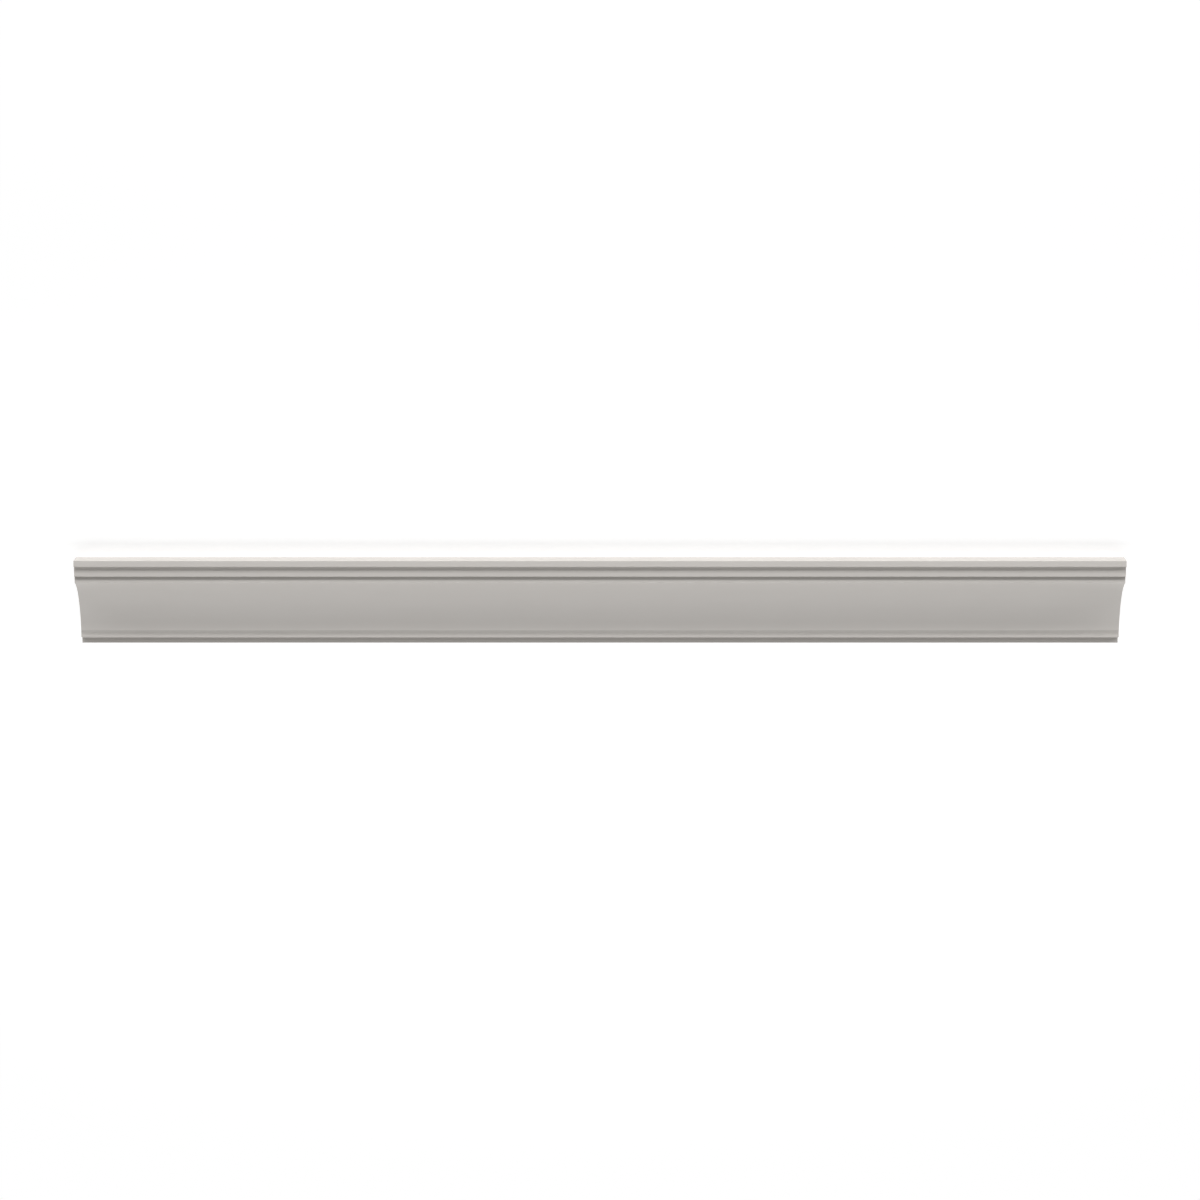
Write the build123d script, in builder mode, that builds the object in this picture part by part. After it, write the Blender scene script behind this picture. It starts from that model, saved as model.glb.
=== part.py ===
"""Cornice moulding: one straight length of deep cove cornice, moulded in one piece.

The section is drawn as it sits in the corner of a room. Its first axis runs from the front of
the moulding towards the wall and its second axis runs up to the ceiling, with zero at the front
of the top fillet, on the ceiling line. The finished length lies on its sloping back, with its
decorated side up and its top fillet towards -Y. X runs along the length. The origin is the
middle of the footprint, on the floor.

All sizes are in millimetres.
"""

import os

from build123d import *

# overall sizes
length = 2400.0
drop = 216.0
projection = 190.0

# flats on the hidden side
ceiling_flat = 58.0
wall_flat = 64.0

# top of the section, from the ceiling down
top_fillet_height = 14.4
top_fillet_set_back = 10.5
upper_band_height = 24.0
upper_band_set_back = 9.5
lower_band_height = 15.6

# main hollow
cove_radius = 171.0

# foot of the section, from the bottom edge up
base_fillet_height = 16.0
base_fillet_thickness = 28.0
foot_band_set_out = 22.0
foot_band_height = 6.0
quirk_width = 12.0
quirk_depth = 1.5

# small radii
arris_radius = 1.0
back_arris_radius = 2.0
root_radius = 0.6


def section_corners():
    """Names each corner of the section, as (distance from the front, height below the ceiling)."""
    upper_band_top = -top_fillet_height
    lower_band_top = upper_band_top - upper_band_height
    cove_top = lower_band_top - lower_band_height
    upper_band_face = top_fillet_set_back
    lower_band_face = upper_band_face + upper_band_set_back
    base_face = projection - base_fillet_thickness
    foot_face = base_face - foot_band_set_out
    base_top = base_fillet_height - drop
    quirk_foot = base_top + foot_band_height
    cove_foot = quirk_foot + quirk_width
    return {
        "ceiling_back": (ceiling_flat, 0),
        "front_top": (0, 0),
        "top_fillet_foot": (0, upper_band_top),
        "upper_band_top": (upper_band_face, upper_band_top),
        "upper_band_foot": (upper_band_face, lower_band_top),
        "lower_band_top": (lower_band_face, lower_band_top),
        "lower_band_foot": (lower_band_face, cove_top),
        "cove_foot": (foot_face, cove_foot),
        "quirk_bottom": (foot_face + quirk_depth, cove_foot - quirk_width / 2),
        "foot_band_top": (foot_face, quirk_foot),
        "foot_band_foot": (foot_face, base_top),
        "base_top": (base_face, base_top),
        "base_foot": (base_face, -drop),
        "wall_foot": (projection, -drop),
        "wall_back": (projection, wall_flat - drop),
    }


def corner_vertices(sketch, corners, names):
    """Picks the sketch vertices that stand at the named corners."""
    return [sketch.vertices().sort_by_distance((*corners[name], 0))[0] for name in names]


def lying_plane(sketch, corners):
    """Gives the plane that turns the section on to its sloping back, centred over its footprint."""
    back_start = Vector(*corners["ceiling_back"])
    back_end = Vector(*corners["wall_back"])
    along_back = (back_end - back_start).normalized()
    lean = Plane(origin=(0, 0, 0), x_dir=(0, along_back.X, along_back.Y), z_dir=(-1, 0, 0))
    lying_box = lean.from_local_coords(sketch).bounding_box()
    return Plane(
        origin=(0, -lying_box.center().Y, -lying_box.min.Z),
        x_dir=lean.x_dir,
        z_dir=lean.z_dir,
    )


corners = section_corners()
show_arrises = (
    "front_top",
    "top_fillet_foot",
    "upper_band_foot",
    "lower_band_foot",
    "foot_band_foot",
    "base_foot",
)
inner_corners = ("upper_band_top", "lower_band_top", "base_top")
back_arrises = ("ceiling_back", "wall_back", "wall_foot")

with BuildSketch() as section:
    with BuildLine():
        Polyline(
            corners["ceiling_back"],
            corners["front_top"],
            corners["top_fillet_foot"],
            corners["upper_band_top"],
            corners["upper_band_foot"],
            corners["lower_band_top"],
            corners["lower_band_foot"],
        )
        RadiusArc(corners["lower_band_foot"], corners["cove_foot"], cove_radius)
        ThreePointArc(corners["cove_foot"], corners["quirk_bottom"], corners["foot_band_top"])
        Polyline(
            corners["foot_band_top"],
            corners["foot_band_foot"],
            corners["base_top"],
            corners["base_foot"],
            corners["wall_foot"],
            corners["wall_back"],
            corners["ceiling_back"],
        )
    make_face()
    fillet(corner_vertices(section, corners, show_arrises), arris_radius)
    fillet(corner_vertices(section, corners, inner_corners), root_radius)
    fillet(corner_vertices(section, corners, back_arrises), back_arris_radius)

with BuildPart() as cornice_moulding:
    with BuildSketch(lying_plane(section.sketch, corners)):
        add(section.sketch)
    extrude(amount=length / 2, both=True)

cornice_moulding.part.label = "cornice_moulding"

os.makedirs("parts", exist_ok=True)
export_step(cornice_moulding.part, "parts/cornice_moulding.step")
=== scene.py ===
"""Looks for one length of deep cove cornice moulding.

The moulding lies on its sloping back along X, with its ceiling edge towards -Y. Its section is
described as it sits in the corner of a room: u runs from the front of the moulding towards the
wall and v runs up to the ceiling, with zero at the front of the top fillet, on the ceiling line.
All sizes are in metres.
"""

import logging
import math
from dataclasses import dataclass, field
from enum import Enum
from typing import ClassVar, Optional

import bpy
from mathutils import Matrix, Vector


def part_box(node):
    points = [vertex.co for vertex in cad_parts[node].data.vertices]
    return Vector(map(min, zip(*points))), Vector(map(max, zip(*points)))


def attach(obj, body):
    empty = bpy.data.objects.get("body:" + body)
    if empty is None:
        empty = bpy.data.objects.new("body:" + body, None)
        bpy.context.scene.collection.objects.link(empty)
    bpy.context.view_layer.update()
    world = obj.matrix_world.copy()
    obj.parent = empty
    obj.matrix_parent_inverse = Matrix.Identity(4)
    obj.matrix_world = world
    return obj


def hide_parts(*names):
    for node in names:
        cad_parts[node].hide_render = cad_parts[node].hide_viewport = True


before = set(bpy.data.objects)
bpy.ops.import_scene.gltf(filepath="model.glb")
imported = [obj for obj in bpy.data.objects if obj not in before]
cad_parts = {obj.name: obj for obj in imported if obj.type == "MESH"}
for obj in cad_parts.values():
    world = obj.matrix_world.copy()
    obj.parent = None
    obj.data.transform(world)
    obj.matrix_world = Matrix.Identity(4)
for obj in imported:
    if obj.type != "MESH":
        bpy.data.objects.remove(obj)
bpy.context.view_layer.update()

BLACK = (0.0, 0.0, 0.0, 1.0)
WHITE = (1.0, 1.0, 1.0, 1.0)

log = logging.getLogger("cornice")


class Finish(Enum):
    """The three ways in which the moulding's surfaces are left."""

    SHOW = "primed show face"
    BACK = "primed back"
    END = "sawn end"


class Seen(Enum):
    """Light Path outputs that stand for what the eye sees, directly or in a reflection."""

    CAMERA = "Is Camera Ray"
    GLOSSY = "Is Glossy Ray"
    TRANSMISSION = "Is Transmission Ray"


class Zone(Enum):
    """Names of the values that each point of the section carries on to the mesh."""

    RADIUS = "corner_radius"
    ARRIS = "arris"
    # painted shade: how much the colour is darkened where shade falls in the recesses
    PAINTED_SHADE = "recess"
    HIDDEN = "hidden"


@dataclass
class OutlinePoint:
    """One point of the section's outline."""

    u: float
    v: float
    radius: float = 0.0
    arris: float = 0.0
    # how much the colour is darkened here as painted shade
    recess: float = 0.0
    hidden: float = 0.0


@dataclass
class Section:
    """The moulding's cross-section, with the sizes of the solid that it dresses.

    The two hollows are divided into stretches no longer than their steps. The wear of an arris
    reaches edge_reach past its rounding. Each inner corner carries painted shade, a darker colour
    that stands in for the shade under its step. It covers recess_share of the two faces that meet
    there, and its two strengths are those in the corner and at full_share of the covered part of
    the lower face. The quirk's groove carries painted shade of strength quirk_recess.
    """

    show_arrises: ClassVar[tuple[str, ...]] = (
        "front_top",
        "top_fillet_foot",
        "upper_band_foot",
        "lower_band_foot",
        "foot_band_foot",
        "base_foot",
    )
    back_arrises: ClassVar[tuple[str, ...]] = ("ceiling_back", "wall_back", "wall_foot")

    drop: float = 0.216
    projection: float = 0.190
    ceiling_flat: float = 0.058
    wall_flat: float = 0.064
    top_fillet_height: float = 0.0144
    top_fillet_set_back: float = 0.0105
    upper_band_height: float = 0.024
    upper_band_set_back: float = 0.0095
    lower_band_height: float = 0.0156
    cove_radius: float = 0.171
    base_fillet_height: float = 0.016
    base_fillet_thickness: float = 0.028
    foot_band_set_out: float = 0.022
    foot_band_height: float = 0.006
    quirk_width: float = 0.012
    quirk_depth: float = 0.0015
    arris_radius: float = 0.001
    back_arris_radius: float = 0.002
    root_radius: float = 0.0006
    cove_step: float = 0.0025
    quirk_step: float = 0.0006
    edge_reach: float = 0.0016
    # painted shade: the reach and strengths of the darker colour put where the steps' shade falls
    recess_share: float = 0.7
    full_share: float = 0.75
    upper_recess: tuple[float, float] = (0.0, 0.6)
    lower_recess: tuple[float, float] = (1.0, 0.35)
    base_recess: tuple[float, float] = (0.8, 0.6)
    quirk_recess: float = 0.45

    def corners(self) -> dict[str, tuple[float, float]]:
        """Names each corner of the section.

        Returns:
            The (u, v) place of each corner, by name.
        """
        upper_band_top = -self.top_fillet_height
        lower_band_top = upper_band_top - self.upper_band_height
        cove_top = lower_band_top - self.lower_band_height
        lower_band_face = self.top_fillet_set_back + self.upper_band_set_back
        base_face = self.projection - self.base_fillet_thickness
        foot_face = base_face - self.foot_band_set_out
        base_top = self.base_fillet_height - self.drop
        quirk_foot = base_top + self.foot_band_height
        return {
            "ceiling_back": (self.ceiling_flat, 0.0),
            "front_top": (0.0, 0.0),
            "top_fillet_foot": (0.0, upper_band_top),
            "upper_band_top": (self.top_fillet_set_back, upper_band_top),
            "upper_band_foot": (self.top_fillet_set_back, lower_band_top),
            "lower_band_top": (lower_band_face, lower_band_top),
            "lower_band_foot": (lower_band_face, cove_top),
            "cove_foot": (foot_face, quirk_foot + self.quirk_width),
            "quirk_bottom": (foot_face + self.quirk_depth, quirk_foot + self.quirk_width / 2),
            "foot_band_top": (foot_face, quirk_foot),
            "foot_band_foot": (foot_face, base_top),
            "base_top": (base_face, base_top),
            "base_foot": (base_face, -self.drop),
            "wall_foot": (self.projection, -self.drop),
            "wall_back": (self.projection, self.wall_flat - self.drop),
        }

    def lean(self) -> float:
        """Measures the slope of the back as the moulding sits in its corner.

        Returns:
            The angle that turns the section on to its sloping back, in radians.
        """
        corners = self.corners()
        start = Vector(corners["ceiling_back"])
        end = Vector(corners["wall_back"])
        along = (end - start).normalized()
        return math.atan2(-along.y, along.x)

    def lying(self, u: float, v: float) -> Vector:
        """Turns a direction of the section into the lying moulding's frame.

        Args:
            u: The part of the direction that points towards the wall.
            v: The part of the direction that points up to the ceiling.

        Returns:
            The direction in the frame of the model.
        """
        turned = Matrix.Rotation(self.lean(), 2) @ Vector((u, v))
        return Vector((0.0, turned.x, -turned.y))

    def arc(self, start: Vector, end: Vector, radius: float, step: float) -> list[Vector]:
        """Divides a hollow arc into even steps.

        Args:
            start: The arc's upper end.
            end: The arc's lower end.
            radius: The arc's radius.
            step: The longest distance between two points.

        Returns:
            The points between the two ends, without the ends.
        """
        chord = end - start
        across = Vector((chord.y, -chord.x)).normalized()
        half = chord.length / 2
        centre = start + chord / 2 + across * math.sqrt(radius**2 - half**2)
        sweep = 2 * math.asin(half / radius)
        count = math.ceil(sweep * radius / step)
        first = start - centre
        return [centre + Matrix.Rotation(-sweep * i / count, 2) @ first for i in range(1, count)]

    def cove(self) -> list[Vector]:
        """Divides the cove, from the lower band down.

        Returns:
            The points between the cove's two ends.
        """
        corners = self.corners()
        start, end = Vector(corners["lower_band_foot"]), Vector(corners["cove_foot"])
        return self.arc(start, end, self.cove_radius, self.cove_step)

    def quirk(self) -> list[Vector]:
        """Divides the quirk, from the foot of the cove down.

        Returns:
            The points between the quirk's two ends.
        """
        corners = self.corners()
        start, end = Vector(corners["cove_foot"]), Vector(corners["foot_band_top"])
        half = self.quirk_width / 2
        radius = (half**2 + self.quirk_depth**2) / (2 * self.quirk_depth)
        return self.arc(start, end, radius, self.quirk_step)

    def corner_shades(self) -> dict[str, tuple[float, float]]:
        """Gathers the painted shade of the inner corners.

        Returns:
            The painted shade's strength in the corner and on the lower face, by the corner's name.
        """
        return {
            "upper_band_top": self.upper_recess,
            "lower_band_top": self.lower_recess,
            "base_top": self.base_recess,
        }

    def draw_recess(
        self, spot: Vector, before: Vector, after: Vector, shade_strength: tuple[float, float]
    ) -> list[OutlinePoint]:
        """Draws an inner corner, with painted shade on its faces.

        Args:
            spot: The corner.
            before: The way from the corner to the one before it.
            after: The way from the corner to the one after it.
            shade_strength: The painted shade's strength in the corner and on the lower face.

        Returns:
            The corner's points in order.
        """
        ledge = before * self.recess_share
        face = after * self.recess_share
        # painted shade: darker in the corner and on the face below it, where the step's shade falls
        in_corner, on_face = shade_strength
        return [
            OutlinePoint(*(spot + ledge)),
            OutlinePoint(*spot, radius=self.root_radius, recess=in_corner),
            OutlinePoint(*(spot + face * self.full_share), recess=on_face),
            OutlinePoint(*(spot + face)),
        ]

    def draw_arris(
        self, spot: Vector, before: Vector, after: Vector, back: bool
    ) -> list[OutlinePoint]:
        """Draws an arris, with the wear on its faces.

        Args:
            spot: The corner.
            before: The way from the corner to the point before it.
            after: The way from the corner to the point after it.
            back: Whether the arris is on the hidden side.

        Returns:
            The arris's points in order.
        """
        radius = self.back_arris_radius if back else self.arris_radius
        reach = radius + self.edge_reach
        hidden = float(back)
        return [
            OutlinePoint(*(spot + before.normalized() * reach), hidden=hidden),
            OutlinePoint(*spot, radius=radius, arris=1.0, hidden=hidden),
            OutlinePoint(*(spot + after.normalized() * reach), hidden=hidden),
        ]

    def outline(self) -> list[OutlinePoint]:
        """Draws the closed outline, from the back of the ceiling face round by the front.

        Returns:
            The outline's points in order.
        """
        spots = {name: Vector(place) for name, place in self.corners().items()}
        names = list(spots)
        corner_shades = self.corner_shades()
        cove = self.cove()
        points: list[OutlinePoint] = []
        for i, (name, spot) in enumerate(spots.items()):
            before = spots[names[i - 1]] - spot
            after = spots[names[(i + 1) % len(names)]] - spot
            if name == "lower_band_foot":
                points += self.draw_arris(spot, before, cove[0] - spot, back=False)
                points += [OutlinePoint(*place) for place in cove[1:]]
            elif name == "quirk_bottom":
                # painted shade: the quirk's groove is darkened where its shade falls
                points += [OutlinePoint(*place, recess=self.quirk_recess) for place in self.quirk()]
            elif name in corner_shades:
                points += self.draw_recess(spot, before, after, corner_shades[name])
            elif name in self.show_arrises + self.back_arrises:
                points += self.draw_arris(spot, before, after, back=name in self.back_arrises)
            else:
                points.append(OutlinePoint(*spot))
        return points


@dataclass
class Tree:
    """A node tree and the short ways of adding to it.

    A colour Mix node takes its colours at the inputs first_colour and second_colour, and gives
    the mixed one at the output mixed_colour.
    """

    first_colour: ClassVar[int] = 6
    second_colour: ClassVar[int] = 7
    mixed_colour: ClassVar[int] = 2

    nodes: bpy.types.Nodes
    links: bpy.types.NodeLinks

    def add(
        self, kind: str, settings: Optional[dict[str, object]] = None, **inputs: object
    ) -> bpy.types.Node:
        """Adds a node.

        Args:
            kind: The node's type.
            settings: The node's own properties, by name.
            **inputs: Values or output sockets for the node's inputs, with _ for a space.

        Returns:
            The new node.
        """
        node = self.nodes.new(kind)
        for name, value in (settings or {}).items():
            setattr(node, name, value)
        for name, value in inputs.items():
            self.feed(node.inputs[name.replace("_", " ")], value)
        return node

    def feed(self, socket: bpy.types.NodeSocket, value: object) -> None:
        """Links an output to a socket, or sets the socket's own value.

        Args:
            socket: The input to feed.
            value: An output socket or a plain value.
        """
        if isinstance(value, bpy.types.NodeSocket):
            self.links.new(value, socket)
        else:
            socket.default_value = value

    def math(self, operation: str, first: object, second: object = 0.0) -> bpy.types.NodeSocket:
        """Adds a clamped Math node.

        Args:
            operation: What the node does.
            first: The first value or output socket.
            second: The second value or output socket.

        Returns:
            The result, held between 0 and 1.
        """
        node = self.add("ShaderNodeMath", {"operation": operation, "use_clamp": True})
        self.feed(node.inputs[0], first)
        self.feed(node.inputs[1], second)
        return node.outputs[0]

    def mix(self, share: object, first: object, second: object) -> bpy.types.NodeSocket:
        """Mixes two colours.

        Args:
            share: How much of the second colour there is, from 0 to 1.
            first: The first colour.
            second: The second colour.

        Returns:
            The mixed colour.
        """
        node = self.add("ShaderNodeMix", {"data_type": "RGBA"})
        self.feed(node.inputs["Factor"], share)
        self.feed(node.inputs[self.first_colour], first)
        self.feed(node.inputs[self.second_colour], second)
        return node.outputs[self.mixed_colour]

    def spread(self, value: object, low: float, high: float) -> bpy.types.NodeSocket:
        """Maps a value from 0 to 1 on to the range from low to high."""
        node = self.add("ShaderNodeMapRange", Value=value, To_Min=low, To_Max=high)
        return node.outputs[0]


def new_group(
    name: str, kind: str, inputs: dict[str, tuple[str, object]], outputs: dict[str, str]
) -> Tree:
    """Makes an empty node group with named inputs and outputs.

    Args:
        name: The group's name.
        kind: The type of node tree.
        inputs: Socket type and default value of each input, by name.
        outputs: Socket type of each output, by name.

    Returns:
        The group's tree, which holds its input and output nodes.
    """
    group = bpy.data.node_groups.new(name, kind)
    for label, (socket_type, default) in inputs.items():
        socket = group.interface.new_socket(label, in_out="INPUT", socket_type=socket_type)
        if default is not None:
            socket.default_value = default
    for label, socket_type in outputs.items():
        group.interface.new_socket(label, in_out="OUTPUT", socket_type=socket_type)
    group.nodes.new("NodeGroupInput")
    group.nodes.new("NodeGroupOutput")
    return Tree(group.nodes, group.links)


class PrimerCoat:
    """A shader group for the sprayed primer: its fine stipple, drag lines and uneven tone.

    The drag lines run along X, where drag_squeeze draws them out, and drag_in_tone is their share
    of the uneven tone.
    """

    name: ClassVar[str] = "primer_coat"
    drag_squeeze: ClassVar[tuple[float, float, float]] = (0.02, 1.0, 1.0)
    drag_in_tone: ClassVar[float] = 0.35

    @classmethod
    def group(cls) -> bpy.types.NodeTree:
        """Builds the group, unless it is there already.

        Returns:
            The group.
        """
        if cls.name in bpy.data.node_groups:
            return bpy.data.node_groups[cls.name]
        tree = new_group(
            cls.name,
            "ShaderNodeTree",
            {
                "Position": ("NodeSocketVector", None),
                "Stipple Size": ("NodeSocketFloat", 0.0012),
                "Stipple Depth": ("NodeSocketFloat", 0.5),
                "Drag Width": ("NodeSocketFloat", 0.004),
                "Drag Depth": ("NodeSocketFloat", 0.3),
                "Patch Size": ("NodeSocketFloat", 0.12),
            },
            {"Height": "NodeSocketFloat", "Tone": "NodeSocketFloat"},
        )
        given = tree.nodes["Group Input"].outputs
        stipple = cls.noise(tree, given["Position"], given["Stipple Size"], detail=2.0)
        squeezed = tree.add("ShaderNodeVectorMath", {"operation": "MULTIPLY"})
        tree.feed(squeezed.inputs[0], given["Position"])
        tree.feed(squeezed.inputs[1], cls.drag_squeeze)
        drag = cls.noise(tree, squeezed.outputs[0], given["Drag Width"], detail=3.0)
        patch = cls.noise(tree, given["Position"], given["Patch Size"], detail=4.0)
        stipple_height = tree.math("MULTIPLY", stipple, given["Stipple Depth"])
        drag_height = tree.math("MULTIPLY", drag, given["Drag Depth"])
        height = tree.math("ADD", stipple_height, drag_height)
        share = cls.drag_in_tone
        tone = tree.add("ShaderNodeMix", {"data_type": "FLOAT"}, Factor=share, A=patch, B=drag)
        out = tree.nodes["Group Output"].inputs
        tree.feed(out["Height"], height)
        tree.feed(out["Tone"], tone.outputs[0])
        return bpy.data.node_groups[cls.name]

    @staticmethod
    def noise(tree: Tree, position: object, size: object, detail: float) -> bpy.types.NodeSocket:
        """Adds noise with features of a real size.

        Args:
            tree: The tree to add to.
            position: Where the noise is read.
            size: The size of one feature, in metres.
            detail: The number of finer layers.

        Returns:
            The noise, from 0 to 1.
        """
        node = tree.add("ShaderNodeTexNoise", Vector=position, Detail=detail)
        divide = tree.add("ShaderNodeMath", {"operation": "DIVIDE"})
        tree.feed(divide.inputs[0], 1.0)
        tree.feed(divide.inputs[1], size)
        tree.feed(node.inputs["Scale"], divide.outputs[0])
        return node.outputs[0]


class WearAndShade:
    """A shader group for rubbed arrises, which are wear, and painted shade in the recesses.

    An arris is rubbed where the noise is high, from rub_start to rub_full. The painted shade is a
    darker colour that stands in for the shade in the recesses, and shade_least is how much of it
    is left where it is thinnest.
    """

    name: ClassVar[str] = "handling"
    rub_start: ClassVar[float] = 0.42
    rub_full: ClassVar[float] = 0.68
    shade_least: ClassVar[float] = 0.6

    @classmethod
    def group(cls) -> bpy.types.NodeTree:
        """Builds the group, unless it is there already.

        Returns:
            The group.
        """
        if cls.name in bpy.data.node_groups:
            return bpy.data.node_groups[cls.name]
        tree = new_group(
            cls.name,
            "ShaderNodeTree",
            {
                "Position": ("NodeSocketVector", None),
                "Rub Length": ("NodeSocketFloat", 0.012),
                "Rub": ("NodeSocketFloat", 0.5),
                "Dust": ("NodeSocketFloat", 0.5),
            },
            {"Rubbed": "NodeSocketFloat", "Dusty": "NodeSocketFloat"},
        )
        given = tree.nodes["Group Input"].outputs
        arris = tree.add("ShaderNodeAttribute", {"attribute_name": Zone.ARRIS.value})
        recess = tree.add("ShaderNodeAttribute", {"attribute_name": Zone.PAINTED_SHADE.value})
        patch = PrimerCoat.noise(tree, given["Position"], given["Rub Length"], detail=5.0)
        worn = tree.add(
            "ShaderNodeMapRange",
            Value=patch,
            From_Min=cls.rub_start,
            From_Max=cls.rub_full,
        )
        rubbed = tree.math("MULTIPLY", arris.outputs["Fac"], worn.outputs[0])
        # painted shade: the recess zones darken, unevenly along the length
        patchy = tree.spread(patch, cls.shade_least, 1.0)
        darkened = tree.math("MULTIPLY", recess.outputs["Fac"], patchy)
        out = tree.nodes["Group Output"].inputs
        tree.feed(out["Rubbed"], tree.math("MULTIPLY", rubbed, given["Rub"]))
        tree.feed(out["Dusty"], tree.math("MULTIPLY", darkened, given["Dust"]))
        return bpy.data.node_groups[cls.name]


@dataclass(frozen=True)
class PrimedFinish:
    """The primer on one kind of surface, with its marks and the painted shade in its recesses.

    A saw_pitch above zero adds saw marks. They are rings whose middle saw_shift moves off the
    section, saw_wander bends them, and saw_share is their share of the height.
    """

    kind: Finish
    colour: tuple[float, float, float, float] = (0.558, 0.533, 0.506, 1.0)
    shade: tuple[float, float, float, float] = (0.532, 0.507, 0.479, 1.0)
    rubbed_colour: tuple[float, float, float, float] = (0.66, 0.65, 0.62, 1.0)
    # painted shade: the darker colour that stands in for the shade in the recesses
    shade_colour: tuple[float, float, float, float] = (0.30, 0.283, 0.262, 1.0)
    roughness: float = 0.56
    roughness_spread: float = 0.08
    stipple_size: float = 0.0012
    stipple_depth: float = 0.5
    drag_width: float = 0.004
    drag_depth: float = 0.15
    relief: float = 0.00008
    rub: float = 0.25
    # strength of the painted shade in the recesses
    shade_strength: float = 0.8
    saw_pitch: float = 0.0
    saw_shift: tuple[float, float, float] = (0.0, 0.22, 0.12)
    saw_wander: float = 1.5
    saw_share: float = 0.6

    def material(self) -> bpy.types.Material:
        """Builds the material.

        Returns:
            A node material that reads Object coordinates and the mesh's own zones.
        """
        material = bpy.data.materials.new(self.kind.value.replace(" ", "_"))
        material.use_nodes = True
        material.node_tree.nodes.clear()
        tree = Tree(material.node_tree.nodes, material.node_tree.links)
        place = tree.add("ShaderNodeTexCoord").outputs["Object"]
        coat = tree.add(
            "ShaderNodeGroup",
            {"node_tree": PrimerCoat.group()},
            Position=place,
            Stipple_Size=self.stipple_size,
            Stipple_Depth=self.stipple_depth,
            Drag_Width=self.drag_width,
            Drag_Depth=self.drag_depth,
        )
        wear_and_shade = tree.add(
            "ShaderNodeGroup",
            {"node_tree": WearAndShade.group()},
            Position=place,
            Rub=self.rub,
            Dust=self.shade_strength,
        )
        tone = tree.mix(coat.outputs["Tone"], self.colour, self.shade)
        rubbed = tree.mix(wear_and_shade.outputs["Rubbed"], tone, self.rubbed_colour)
        # painted shade: the recesses are darkened towards the shade colour
        darkened = tree.mix(wear_and_shade.outputs["Dusty"], rubbed, self.shade_colour)
        height = coat.outputs["Height"]
        if self.saw_pitch > 0:
            height = self.saw_marks(tree, place, height)
        low = self.roughness - self.roughness_spread / 2
        high = self.roughness + self.roughness_spread / 2
        roughness = tree.spread(coat.outputs["Tone"], low, high)
        bump = tree.add("ShaderNodeBump", Height=height, Distance=self.relief)
        surface = tree.add(
            "ShaderNodeBsdfPrincipled",
            Base_Color=darkened,
            Roughness=roughness,
            Normal=bump.outputs[0],
        )
        tree.add("ShaderNodeOutputMaterial", Surface=surface.outputs[0])
        return material

    def saw_marks(
        self, tree: Tree, place: bpy.types.NodeSocket, height: bpy.types.NodeSocket
    ) -> bpy.types.NodeSocket:
        """Adds the curved marks of a saw to a height.

        At a scale of 1 the wave texture draws 10 / pi rings to the metre.

        Args:
            tree: The material's tree.
            place: Object coordinates.
            height: The height to add to.

        Returns:
            The height with the saw marks.
        """
        shifted = tree.add("ShaderNodeMapping", Vector=place, Location=self.saw_shift)
        wave = tree.add(
            "ShaderNodeTexWave",
            {"wave_type": "RINGS", "rings_direction": "X"},
            Vector=shifted.outputs[0],
            Scale=math.pi / (10 * self.saw_pitch),
            Distortion=self.saw_wander,
            Detail=3.0,
            Detail_Scale=2.0,
        )
        sawn = tree.add("ShaderNodeMix", {"data_type": "FLOAT"}, Factor=self.saw_share, A=height)
        tree.feed(sawn.inputs["B"], wave.outputs["Fac"])
        return sawn.outputs[0]


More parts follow.
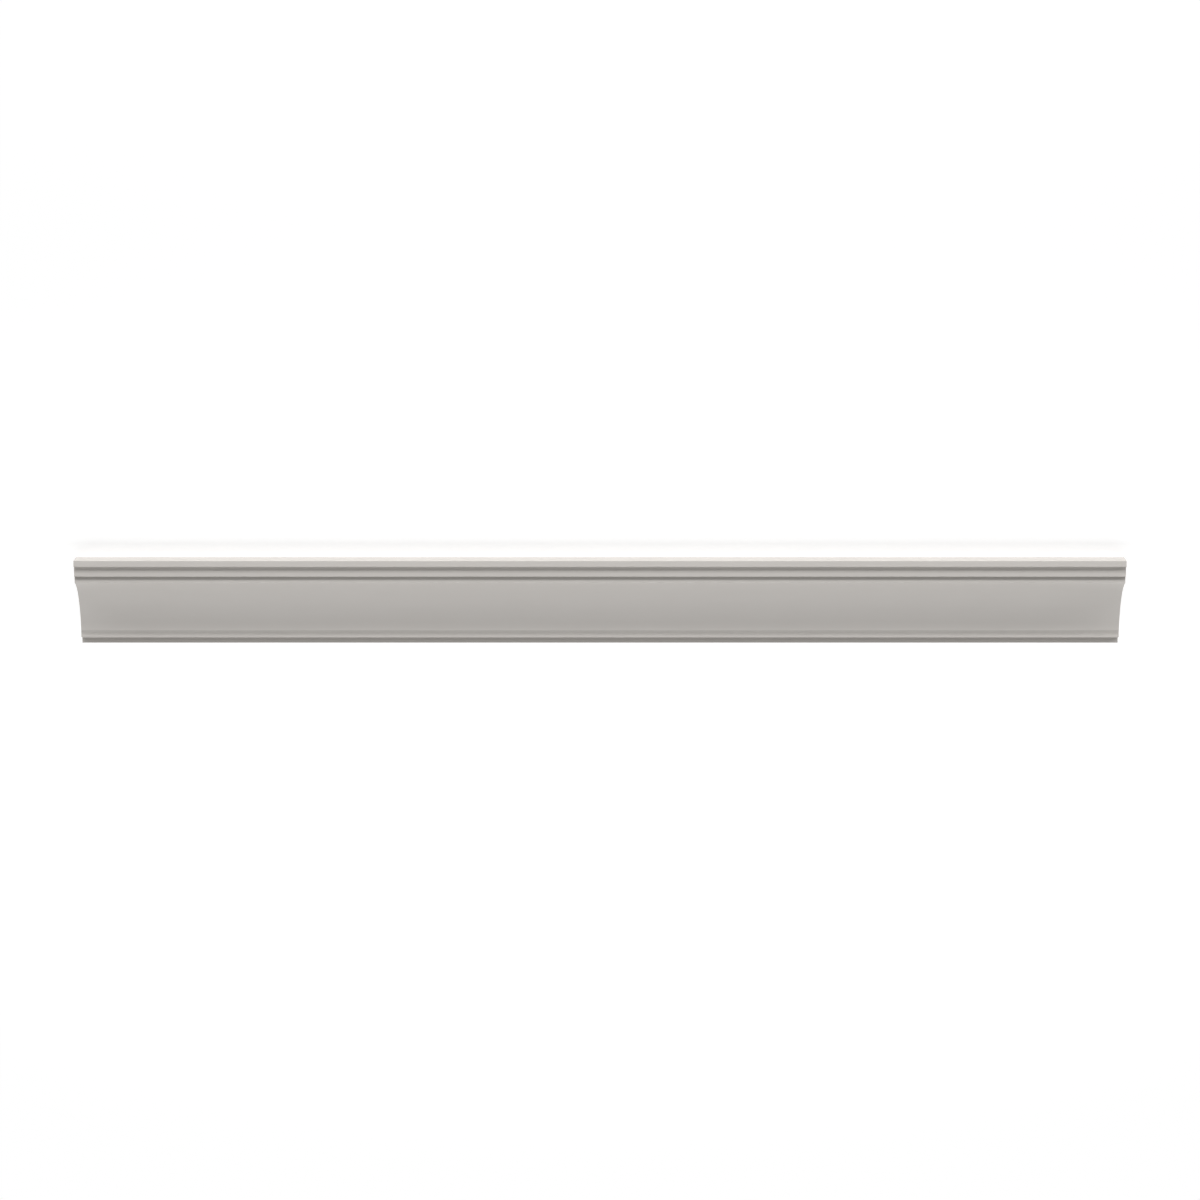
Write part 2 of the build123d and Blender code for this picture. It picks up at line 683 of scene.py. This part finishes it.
@dataclass
class CorniceMoulding:
    """One straight length of the cornice, which the section is swept along.

    A face is a sawn end where its normal points along X by more than end_facing. It is a hidden
    one where its points' hidden values are more than hidden_share on average.
    """

    section: Section = field(default_factory=Section)
    node: str = "cornice_moulding"
    body: str = "root"
    slot: str = "primed_moulding"
    piece_name: str = "cornice_length"
    sweep_name: str = "cornice_sweep"
    bays: int = 48
    corner_cuts: int = 5
    sharp_angle: float = math.radians(40)
    end_facing: float = 0.9
    hidden_share: float = 0.9
    finishes: tuple[PrimedFinish, ...] = (
        PrimedFinish(Finish.SHOW),
        PrimedFinish(
            Finish.BACK,
            roughness=0.7,
            stipple_size=0.0022,
            stipple_depth=0.9,
            relief=0.00012,
            rub=0.3,
        ),
        PrimedFinish(
            Finish.END,
            colour=(0.60, 0.578, 0.54, 1.0),
            shade=(0.562, 0.538, 0.498, 1.0),
            roughness=0.78,
            drag_depth=0.0,
            relief=0.00014,
            shade_strength=0.0,
            saw_pitch=0.0035,
        ),
    )

    def half_length(self) -> float:
        """Gives half the length, from the solid's box."""
        low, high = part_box(self.node)
        return (high[0] - low[0]) / 2

    def section_mesh(self) -> bpy.types.Mesh:
        """Draws the section's outline as a closed loop of edges with its zones.

        Returns:
            The loop, in the section's own plane.
        """
        points = self.section.outline()
        mesh = bpy.data.meshes.new("cornice_section")
        edges = [(i, (i + 1) % len(points)) for i in range(len(points))]
        mesh.from_pydata([(point.u, point.v, 0.0) for point in points], edges, [])
        values = {
            Zone.RADIUS: [point.radius for point in points],
            Zone.ARRIS: [point.arris for point in points],
            Zone.PAINTED_SHADE: [point.recess for point in points],
            Zone.HIDDEN: [point.hidden for point in points],
        }
        for zone, numbers in values.items():
            layer = mesh.attributes.new(zone.value, "FLOAT", "POINT")
            layer.data.foreach_set("value", numbers)
        return mesh

    def sweep_tree(self, materials: dict[Finish, bpy.types.Material]) -> bpy.types.NodeTree:
        """Builds the tree that rounds the section's corners and sweeps it along the length.

        Args:
            materials: The material of each finish.

        Returns:
            The tree.
        """
        tree = new_group(
            self.sweep_name,
            "GeometryNodeTree",
            {
                "Section": ("NodeSocketGeometry", None),
                "Half Length": ("NodeSocketFloat", 1.0),
                "Lean": ("NodeSocketFloat", 0.0),
                "Across": ("NodeSocketFloat", 0.0),
                "Seat": ("NodeSocketFloat", 0.0),
                "Bays": ("NodeSocketInt", 1),
                "Corner Cuts": ("NodeSocketInt", 1),
                "Sharp Angle": ("NodeSocketFloat", 0.5),
            },
            {"Moulding": "NodeSocketGeometry"},
        )
        given = tree.nodes["Group Input"].outputs
        loop = tree.add("GeometryNodeMeshToCurve", Mesh=given["Section"])
        radius = tree.add(
            "GeometryNodeInputNamedAttribute",
            {"data_type": "FLOAT"},
            Name=Zone.RADIUS.value,
        )
        rounded = tree.add(
            "GeometryNodeFilletCurve",
            {"mode": "POLY"},
            Curve=loop.outputs[0],
            Count=given["Corner Cuts"],
            Radius=radius.outputs[0],
        )
        turn = tree.add("ShaderNodeCombineXYZ", Z=given["Lean"])
        leaning = tree.add(
            "GeometryNodeTransform",
            Geometry=rounded.outputs[0],
            Rotation=turn.outputs[0],
        )
        far = tree.add("ShaderNodeCombineXYZ", X=given["Half Length"])
        near = tree.add("ShaderNodeVectorMath", {"operation": "SCALE"}, Scale=-1.0)
        tree.feed(near.inputs[0], far.outputs[0])
        line = tree.add("GeometryNodeCurvePrimitiveLine", Start=far.outputs[0], End=near.outputs[0])
        rings = tree.add("FunctionNodeIntegerMath", {"operation": "ADD"})
        tree.feed(rings.inputs[0], given["Bays"])
        tree.feed(rings.inputs[1], 1)
        path = tree.add("GeometryNodeResampleCurve", Curve=line.outputs[0], Count=rings.outputs[0])
        upright = tree.add("GeometryNodeSetCurveNormal", {"mode": "Z_UP"}, Curve=path.outputs[0])
        swept = tree.add(
            "GeometryNodeCurveToMesh",
            Curve=upright.outputs[0],
            Profile_Curve=leaning.outputs[0],
            Fill_Caps=True,
        )
        seat = tree.add("ShaderNodeCombineXYZ", Y=given["Across"], Z=given["Seat"])
        seated = tree.add(
            "GeometryNodeTransform",
            Geometry=swept.outputs[0],
            Translation=seat.outputs[0],
        )
        shaded = self.shade(tree, seated.outputs[0], given["Sharp Angle"])
        dressed = self.dress(tree, shaded, materials)
        whole = tree.add("GeometryNodeRealizeInstances", Geometry=dressed)
        tree.feed(tree.nodes["Group Output"].inputs["Moulding"], whole.outputs[0])
        return bpy.data.node_groups[self.sweep_name]

    def shade(
        self, tree: Tree, geometry: bpy.types.NodeSocket, angle: bpy.types.NodeSocket
    ) -> bpy.types.NodeSocket:
        """Smooths the faces and keeps the sawn ends' edges sharp.

        Args:
            tree: The tree to add to.
            geometry: The swept mesh.
            angle: The angle past which an edge stays sharp.

        Returns:
            The shaded mesh.
        """
        smooth = tree.add("GeometryNodeSetShadeSmooth", Geometry=geometry, Shade_Smooth=True)
        bend = tree.add("GeometryNodeInputMeshEdgeAngle")
        sharp = tree.add("FunctionNodeCompare", {"operation": "GREATER_THAN"})
        tree.feed(sharp.inputs[0], bend.outputs["Unsigned Angle"])
        tree.feed(sharp.inputs[1], angle)
        edged = tree.add(
            "GeometryNodeSetShadeSmooth",
            {"domain": "EDGE"},
            Geometry=smooth.outputs[0],
            Selection=sharp.outputs[0],
            Shade_Smooth=False,
        )
        return edged.outputs[0]

    def dress(
        self,
        tree: Tree,
        geometry: bpy.types.NodeSocket,
        materials: dict[Finish, bpy.types.Material],
    ) -> bpy.types.NodeSocket:
        """Gives each face the material of its finish.

        Args:
            tree: The tree to add to.
            geometry: The shaded mesh.
            materials: The material of each finish.

        Returns:
            The dressed mesh.
        """
        hidden = tree.add(
            "GeometryNodeInputNamedAttribute",
            {"data_type": "FLOAT"},
            Name=Zone.HIDDEN.value,
        )
        back = tree.add("FunctionNodeCompare", {"operation": "GREATER_THAN"})
        tree.feed(back.inputs[0], hidden.outputs[0])
        tree.feed(back.inputs[1], self.hidden_share)
        normal = tree.add("GeometryNodeInputNormal")
        facing = tree.add("ShaderNodeSeparateXYZ", Vector=normal.outputs[0])
        turned = tree.add("ShaderNodeMath", {"operation": "ABSOLUTE"})
        tree.feed(turned.inputs[0], facing.outputs["X"])
        end = tree.add("FunctionNodeCompare", {"operation": "GREATER_THAN"})
        tree.feed(end.inputs[0], turned.outputs[0])
        tree.feed(end.inputs[1], self.end_facing)
        show = tree.add(
            "GeometryNodeSetMaterial",
            Geometry=geometry,
            Material=materials[Finish.SHOW],
        )
        backed = tree.add(
            "GeometryNodeSetMaterial",
            Geometry=show.outputs[0],
            Selection=back.outputs[0],
            Material=materials[Finish.BACK],
        )
        ended = tree.add(
            "GeometryNodeSetMaterial",
            Geometry=backed.outputs[0],
            Selection=end.outputs[0],
            Material=materials[Finish.END],
        )
        return ended.outputs[0]

    def build(self) -> bpy.types.Object:
        """Sweeps the moulding, dresses it and puts it in the place of its solid.

        Returns:
            The finished piece.
        """
        materials = {finish.kind: finish.material() for finish in self.finishes}
        tree = self.sweep_tree(materials)
        across, seat = self.seat()
        values = {
            "Half Length": self.half_length(),
            "Lean": self.section.lean(),
            "Across": across,
            "Seat": seat,
            "Bays": self.bays,
            "Corner Cuts": self.corner_cuts,
            "Sharp Angle": self.sharp_angle,
        }
        piece = bpy.data.objects.new(self.piece_name, self.section_mesh())
        bpy.context.scene.collection.objects.link(piece)
        sweep = piece.modifiers.new("sweep", "NODES")
        sweep.node_group = tree
        for socket in tree.interface.items_tree:
            if socket.in_out == "INPUT" and socket.name in values:
                sweep[socket.identifier] = values[socket.name]
        evaluated = piece.evaluated_get(bpy.context.evaluated_depsgraph_get())
        mesh = bpy.data.meshes.new_from_object(evaluated)
        mesh.name = self.piece_name
        piece.modifiers.remove(sweep)
        piece.data = mesh
        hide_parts(self.node)
        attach(piece, self.body)
        return piece

    def seat(self) -> tuple[float, float]:
        """Works out the shift that lays the leaning section in its solid's box.

        Returns:
            The shift along Y and the shift along Z.
        """
        low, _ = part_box(self.node)
        radius = self.section.arris_radius
        front_reach = self.section.lying(radius, -radius).y - radius
        ceiling_back = self.section.corners()["ceiling_back"]
        return low[1] - front_reach, -self.section.lying(*ceiling_back).z


@dataclass
class PhotoCamera:
    """A long lens in front of the moulding, a little above it as it sits in its corner.

    The front top arris stands arris_depth from the lens and arris_rise above its axis.
    """

    section: Section
    frame_px: float = 1200.0
    focal_px: float = 4800.0
    sensor: float = 36.0
    elevation: float = math.radians(8.85)
    arris_depth: float = 10.9356
    arris_rise: float = 0.08937
    clip_end: float = 200.0

    def build(self, arris: Vector) -> bpy.types.Object:
        """Places the camera and makes it the scene's own.

        Args:
            arris: The front top arris at the middle of the length.

        Returns:
            The camera.
        """
        rise, run = math.sin(self.elevation), math.cos(self.elevation)
        forward = self.section.lying(run, -rise)
        upward = self.section.lying(rise, run)
        right = forward.cross(upward)
        turn = Matrix((right, upward, -forward)).transposed()
        data = bpy.data.cameras.new("photo_camera")
        data.sensor_width = self.sensor
        data.lens = self.sensor * self.focal_px / self.frame_px
        data.clip_end = self.clip_end
        camera = bpy.data.objects.new("photo_camera", data)
        spot = arris - forward * self.arris_depth - upward * self.arris_rise
        camera.matrix_world = Matrix.Translation(spot) @ turn.to_4x4()
        bpy.context.scene.collection.objects.link(camera)
        bpy.context.scene.camera = camera
        return camera


@dataclass(frozen=True)
class SoftBox:
    """A long soft lamp that runs beside the moulding.

    Its brightness is that of its own face, where 1 is white. Its height angle is measured from
    the floor on the side of the ceiling edge, round the length of the moulding, and along is how
    far its middle stands towards +X.
    """

    name: str
    height_angle: float
    brightness: float
    distance: float = 3.0
    length: float = 9.0
    breadth: float = 1.0
    along: float = 0.0

    def build(self) -> bpy.types.Object:
        """Places the lamp, turned to the moulding.

        Its power is its brightness times pi and the area of its face.

        Returns:
            The lamp.
        """
        angle = math.radians(self.height_angle)
        spot = Vector((0.0, -math.cos(angle), math.sin(angle))) * self.distance
        spot.x = self.along
        data = bpy.data.lights.new(self.name, "AREA")
        data.shape = "RECTANGLE"
        data.size = self.length
        data.size_y = self.breadth
        data.energy = self.brightness * math.pi * self.length * self.breadth
        lamp = bpy.data.objects.new(self.name, data)
        lamp.location = spot
        lamp.rotation_euler = (math.radians(90.0) - angle, 0.0, 0.0)
        lamp.visible_camera = False
        bpy.context.scene.collection.objects.link(lamp)
        return lamp


@dataclass
class Studio:
    """A plain white studio: floor, dome and soft lamps.

    The floor is seen as paper_fill of plain white, with shadow_share of the paper's own light on
    top of it. Between clear_start and clear_end from the middle it clears to plain white. What it
    throws on the moulding is the paper's own light and floor_glow.
    """

    floor_half: float = 60.0
    paper: tuple[float, float, float, float] = (0.9, 0.9, 0.9, 1.0)
    shadow_share: float = 0.5
    paper_fill: float = 0.715
    clear_start: float = 1.2
    clear_end: float = 2.6
    floor_glow: float = 0.65
    dome: float = 0.2
    lamps: tuple[SoftBox, ...] = (
        SoftBox("front_floor_strip", 3.0, 10.0, breadth=0.3, along=-0.9),
        SoftBox("front_strip", 9.0, 2.65, breadth=0.4, along=-0.9),
        SoftBox("back_high_box", 110.0, 1.8),
        SoftBox("back_box", 130.0, 2.2),
    )

    def seen(self, tree: Tree) -> bpy.types.NodeSocket:
        """Tells what is seen, directly or in a reflection, from light that falls on something.

        Args:
            tree: The tree to add to.

        Returns:
            1 for what is seen and 0 for light that falls.
        """
        path = tree.add("ShaderNodeLightPath").outputs
        share: object = 0.0
        for ray in Seen:
            share = tree.math("MAXIMUM", share, path[ray.value])
        return share

    def build_floor(self) -> bpy.types.Object:
        """Lays the floor, which is white where it is seen and keeps the moulding's soft shadow.

        Returns:
            The floor.
        """
        material = bpy.data.materials.new("studio_floor")
        material.use_nodes = True
        material.node_tree.nodes.clear()
        tree = Tree(material.node_tree.nodes, material.node_tree.links)
        seen = self.seen(tree)
        reach = tree.add("ShaderNodeVectorMath", {"operation": "LENGTH"})
        tree.feed(reach.inputs[0], tree.add("ShaderNodeTexCoord").outputs["Object"])
        clear = tree.add(
            "ShaderNodeMapRange",
            {"interpolation_type": "SMOOTHSTEP"},
            Value=reach.outputs["Value"],
            From_Min=self.clear_start,
            From_Max=self.clear_end,
        ).outputs[0]
        shaded = [channel * self.shadow_share for channel in self.paper[:3]] + [1.0]
        faded = tree.mix(clear, shaded, BLACK)
        paper = tree.add("ShaderNodeBsdfDiffuse", Color=tree.mix(seen, self.paper, faded))
        number = {"data_type": "FLOAT"}
        fill = tree.add("ShaderNodeMix", number, Factor=clear, A=self.paper_fill, B=1.0)
        strength = tree.add("ShaderNodeMix", number, Factor=seen, A=self.floor_glow)
        tree.feed(strength.inputs["B"], fill.outputs[0])
        light = tree.add("ShaderNodeEmission", Strength=strength.outputs[0])
        both = tree.add("ShaderNodeAddShader")
        tree.feed(both.inputs[0], paper.outputs[0])
        tree.feed(both.inputs[1], light.outputs[0])
        tree.add("ShaderNodeOutputMaterial", Surface=both.outputs[0])
        half = self.floor_half
        corners = [(-half, -half, 0), (half, -half, 0), (half, half, 0), (-half, half, 0)]
        mesh = bpy.data.meshes.new("studio_floor")
        mesh.from_pydata(corners, [], [(0, 1, 2, 3)])
        mesh.materials.append(material)
        floor = bpy.data.objects.new("studio_floor", mesh)
        bpy.context.scene.collection.objects.link(floor)
        return floor

    def build_dome(self) -> bpy.types.World:
        """Makes the world that closes the studio.

        Returns:
            The world: white where it is seen, and a plain soft light elsewhere.
        """
        world = bpy.data.worlds.new("studio_dome")
        world.use_nodes = True
        world.node_tree.nodes.clear()
        tree = Tree(world.node_tree.nodes, world.node_tree.links)
        light = tree.add("ShaderNodeBackground", Color=WHITE, Strength=self.dome)
        white = tree.add("ShaderNodeBackground", Color=WHITE, Strength=1.0)
        both = tree.add("ShaderNodeMixShader", Fac=self.seen(tree))
        tree.feed(both.inputs[1], light.outputs[0])
        tree.feed(both.inputs[2], white.outputs[0])
        tree.add("ShaderNodeOutputWorld", Surface=both.outputs[0])
        bpy.context.scene.world = world
        return world

    def build(self) -> None:
        """Builds the floor, the dome and the lamps."""
        self.build_floor()
        self.build_dome()
        for lamp in self.lamps:
            lamp.build()
        bpy.context.scene.view_settings.view_transform = "Standard"


def main() -> None:
    """Builds the moulding, the camera and the studio in order."""
    logging.basicConfig(level=logging.INFO, format="%(name)s: %(message)s")
    moulding = CorniceMoulding()
    piece = moulding.build()
    log.info("%s: %d faces", piece.name, len(piece.data.polygons))
    across, seat = moulding.seat()
    arris = Vector((0.0, across, seat))
    camera = PhotoCamera(moulding.section).build(arris)
    log.info("%s: lens %.0f mm", camera.name, camera.data.lens)
    studio = Studio()
    studio.build()
    log.info("studio: %d lamps", len(studio.lamps))


if __name__ == "__main__":
    main()
